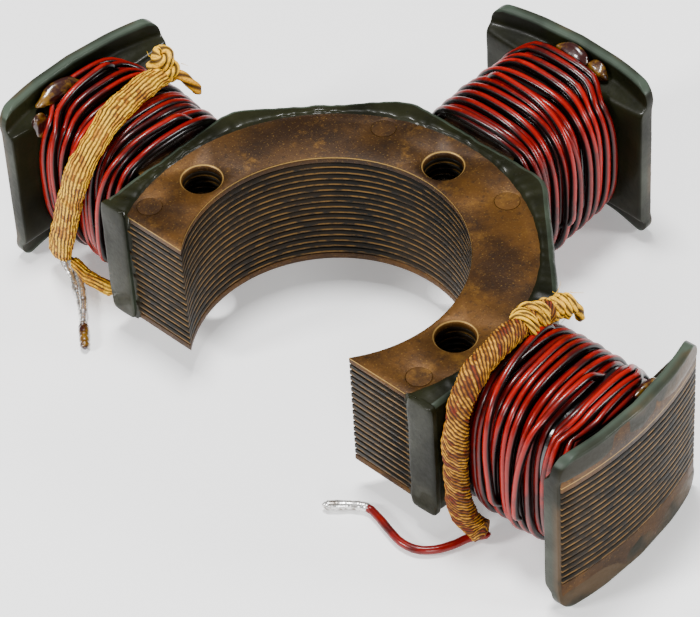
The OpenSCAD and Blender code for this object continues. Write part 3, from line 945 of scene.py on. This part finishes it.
def fuzz(centre, count, spread, length, angle, seed):
    # Loose fibres: short thin arcs that leave a spot in random directions
    rng = np.random.default_rng(seed)
    shells = []
    for start, aim, bend in zip(rng.normal(size=(count, 3)) * spread + centre,
                                rng.normal(size=(count, 3)), rng.normal(size=(count, 3))):
        t = np.linspace(0, 1, 6)[:, None]
        aim /= np.linalg.norm(aim)
        path = start + length * (aim * t + 0.35 * bend * t ** 2)
        rings = sweep(path, 0.055 * (1 - 0.6 * t), (0.3, 0.5, 0.8), 5)
        shells.append(tubeShell(turned(rings, angle), crown=0.9, tone=0.8))
    return shells


left, right = poleAngle["left"], poleAngle["right"]
for name, kind, route, angle, side, seed, tint, node in (
        ("sleeveRight", "right", "sleeveRight", right, (1, 0, 0), 1, "brown", "lead_sleeve_right"),
        ("sleeveLeft", "left", "sleeveLeft", left, (1, 0, 0), 5, "yellow", "lead_sleeve_left"),
        ("tapeLeft", "tape", "tapeLeft", left, (0, 0, 1), 8, "yellow", "tie_tape_left")):
    makePiece(name, [sleeveShell(sleeves[kind], leads[route], angle, side, seed)],
              looks[tint], "braid_" + tint, (node,))

# The right tie: two yarns wound over each other, a core, a lashing on the sleeve and a tail
ties = {
    "knot": (
        # which line, lashing radius, turns, flatness, seed, yarn radius, tone
        (leads["knot"], 1.5, 5, 0.85, 3, 0.6, 0.8),
        (leads["knot"][::-1], 1.25, 6, 0.9, 14, 0.62, 0.8),
        (leads["knot"][1:], 0.8, 4, 0.8, 4, 0.8, 0.8),
        (leads["lash"], 1.95, 3, 1.0, 5, 0.5, 0.6),
        (leads["lash"][::-1], 1.9, 4, 1.0, 15, 0.5, 0.8),
    ),
    "knotTail": [[38.6, 10.5, 27], [39.4, 12.2, 26.2], [40.2, 12.9, 24.4], [40.4, 13, 22.4]],
    "knob": (
        (leads["knob"], 1.0, 5, 1.0, 6, 0.9, 0.8),
        (leads["knob"][:2], 1.7, 3, 1.0, 7, 0.85, 0.8),
    ),
    "knobTail": [[46.8, -8.6, 27.4], [45.0, -9.8, 27.2], [43.4, -10.8, 25.8], [42.4, -11.8, 23.4]],
}


def tieYarns(rows, angle, side):
    # Each row's yarn wound round its line
    shells = []
    for line, reach, turns, flat, seed, radius, tone in rows:
        wound = lashing(yarn, line, reach, turns, flat, seed)
        shells.append(yarnShell(yarn, wound, radius, angle, side, tone))
    return shells


knot = tieYarns(ties["knot"], right, (0.2, 0.3, 1))
knot.append(yarnShell(yarn, ties["knotTail"], 0.8, right, (1, 0, 0)))
makePiece("knotRight", knot + fuzz((38.4, 9, 27.6), 26, 1.3, 1.6, right, 5),
          looks["yellow"], "braid_yellow", ("tie_knot_right",))
knob = tieYarns(ties["knob"], left, (0.2, 1, 0.3))
knob.append(yarnShell(yarn, ties["knobTail"], 0.9, left, (0, 1, 0.3), tone=0.3))
makePiece("knobLeft", knob + fuzz((47.2, -8.6, 28.5), 10, 1.2, 1.0, left, 6),
          looks["yellow"], "braid_yellow", ("tie_knot_left",))
print("sleeves made")


def wireTube(route, radius, columns=14, step=0.2, wobble=0.03, seed=1, **marks):
    # A round tube along a route whose radius wanders and whose ends are rounded off
    smooth = smoothRoute(route, 14)
    path = evenly(smooth, int(pathLength(smooth) / step))
    run = np.linspace(0, pathLength(smooth), len(path))[:, None]
    reach = radius * (1 + waves(6, 1, 9, wobble, seed)(run[:, 0])[:, None])
    ends = np.sqrt(np.clip(np.minimum(run, run[::-1]) / radius, 0.05, 1))
    return path, tubeShell(sweep(path, reach * ends, (0, 0, 1), columns), **marks)


def strandPair(route, gap, radius, turns, seed):
    # Two strands that wind slowly round one line, always on opposite sides of it
    line = evenly(smoothRoute(route, 14), 60)
    a = np.linspace(0, 2 * math.pi * turns, 60)[:, None]
    level, upright = np.array([0.8, -0.6, 0]), np.array([0, 0, 0.5])
    swing = gap * (np.cos(a) * level + np.sin(a) * upright)
    return [wireTube(line + sign * swing, radius, 12, 0.15, 0.16, seed + k, crown=1.0)[1]
            for k, sign in enumerate((1, -1))]


redPath, redShell = wireTube(leads["redLead"] + leads["redTip"], leads["wireR"],
                             crown=0.9, tone=0.8)
redLead = makePiece("redLead", [redShell], looks["enamel"], "enamelled_wire", ("lead_right",))
solder = wireTube(leads["redTip"], leads["wireR"] + 0.08, 16, 0.12, 0.10, 9, crown=1.0)[1]
redTip = makePiece("redLeadTip", [solder] + strandPair(leads["redTip"], 0.32, 0.42, 0.8, 3),
                   looks["tinned"], "tinned_copper", ("lead_tip_right",))
tuple(redPath[0] * mm)
(redPath * mm).tolist()
makePiece("bareLead", strandPair(leads["bareLead"] + leads["flux"][:2], 0.56, 0.62, 0.3, 12),
          looks["tinned"], "tinned_copper", ("lead_left",))
fluxShell = wireTube(leads["flux"], 0.86, 16, 0.12, 0.16, 4)[1]
makePiece("fluxTip", [fluxShell], looks["amber"], "amber_resin", ("flux_bead_left",))
print("leads made")


def dropShell(centre, size, angle, seed, rows=28, columns=36):
    # A ball stretched to size, its surface moved in and out by waves of its own direction
    v = np.linspace(0.02, math.pi - 0.02, rows)[:, None]
    a = np.linspace(0, 2 * math.pi, columns, endpoint=False)[None]
    aim = np.stack([np.sin(v) * np.cos(a), np.sin(v) * np.sin(a), np.cos(v) + 0 * a], -1)
    reach = 1 + waves(8, 1.5, 7, 0.22, seed)(aim)
    return tubeShell(turned(centre + aim * reach[..., None] * np.array(size), angle))


drops = {
    "left": [((58.2, 5.2, 25.3), (1.5, 4.6, 1.6)), ((56.7, 10.8, 22.4), (0.9, 1.6, 2.2))],
    "middle": [((58.9, -0.6, 25.9), (1.3, 3.4, 1.5)), ((58.8, -5.6, 25.2), (1.2, 2.2, 1.7))],
    "right": [((56.9, -12.6, 16.4), (0.8, 0.9, 2.4)), ((58.6, 5.4, 25.4), (1.0, 2.4, 1.1))],
}
dropShells = [dropShell(np.array(at), size, poleAngle[side], 60 + k)
              for side, spots in drops.items() for k, (at, size) in enumerate(spots)]
makePiece("resinDrops", dropShells, looks["amber"], "amber_resin", ("varnish_beads",))

# The wires that join the windings, under the yoke's rim
crossover = {
    "wireR": 0.68,
    "route": [
        [38.2, 12.4, 0.8], [36.8, 12.4, -0.7], [34.2, 13, -1.3], [29.8, 18, -1.3],
        [24.7, 24.7, -1.3], [18, 29.8, -1.3], [13.4, 34, -1.3], [13.6, 36.4, -0.7],
        [14.2, 37.8, 0.8]],
}
for side, sign in (("left", 1), ("right", -1)):
    route = np.array(crossover["route"]) * (1, sign, 1)
    wire = wireTube(route, crossover["wireR"], wobble=0.02, crown=0.9, tone=0.7)[1]
    makePiece("crossover_" + side, [wire], looks["enamel"], "enamelled_wire",
              ("crossover_" + side,))
print("drops and crossovers made")

studio = {
    "floor": 3.0,
    "floorDrop": 0.35,      # millimetres under the lowest flap
    "floorGlow": 0.36,
    "sky": 0.16,
    "lights": (
        # name, place, size, power
        ("overhead", (0.05, 0.10, 0.85), 0.20, 11.0),
        ("left", (-0.70, 0.30, 0.50), 0.18, 8.0),
        ("front", (-0.55, -0.65, 0.30), 0.20, 4.0),
        ("right", (0.40, -0.70, 0.35), 0.18, 5.0),
    ),
}


def makeStudio(c):
    # A pale glowing floor, four soft lights aimed at the object, and a dim white sky
    floorHigh = (floorZ - c["floorDrop"]) * mm
    bpy.ops.mesh.primitive_plane_add(size=c["floor"], location=(0, 0, floorHigh))
    floor = bpy.context.object
    floor.name = "floor"
    pale = Look("floor", Base_Color=(0.95, 0.95, 0.95, 1), Roughness=0.8,
                Emission_Color=(1, 1, 1, 1), Emission_Strength=c["floorGlow"])
    floor.data.materials.append(pale.material)
    for name, place, size, power in c["lights"]:
        lamp = bpy.data.lights.new(name, "AREA")
        lamp.energy = power
        lamp.size = size
        light = bpy.data.objects.new(name, lamp)
        bpy.context.scene.collection.objects.link(light)
        light.location = place
        light.rotation_euler = (-Vector(place)).to_track_quat("-Z", "Y").to_euler()
    world = bpy.data.worlds.new("studio")
    world.use_nodes = True
    sky = world.node_tree.nodes["Background"]
    sky.inputs["Color"].default_value = (1, 1, 1, 1)
    sky.inputs["Strength"].default_value = c["sky"]
    bpy.context.scene.world = world


makeStudio(studio)
print("studio made")
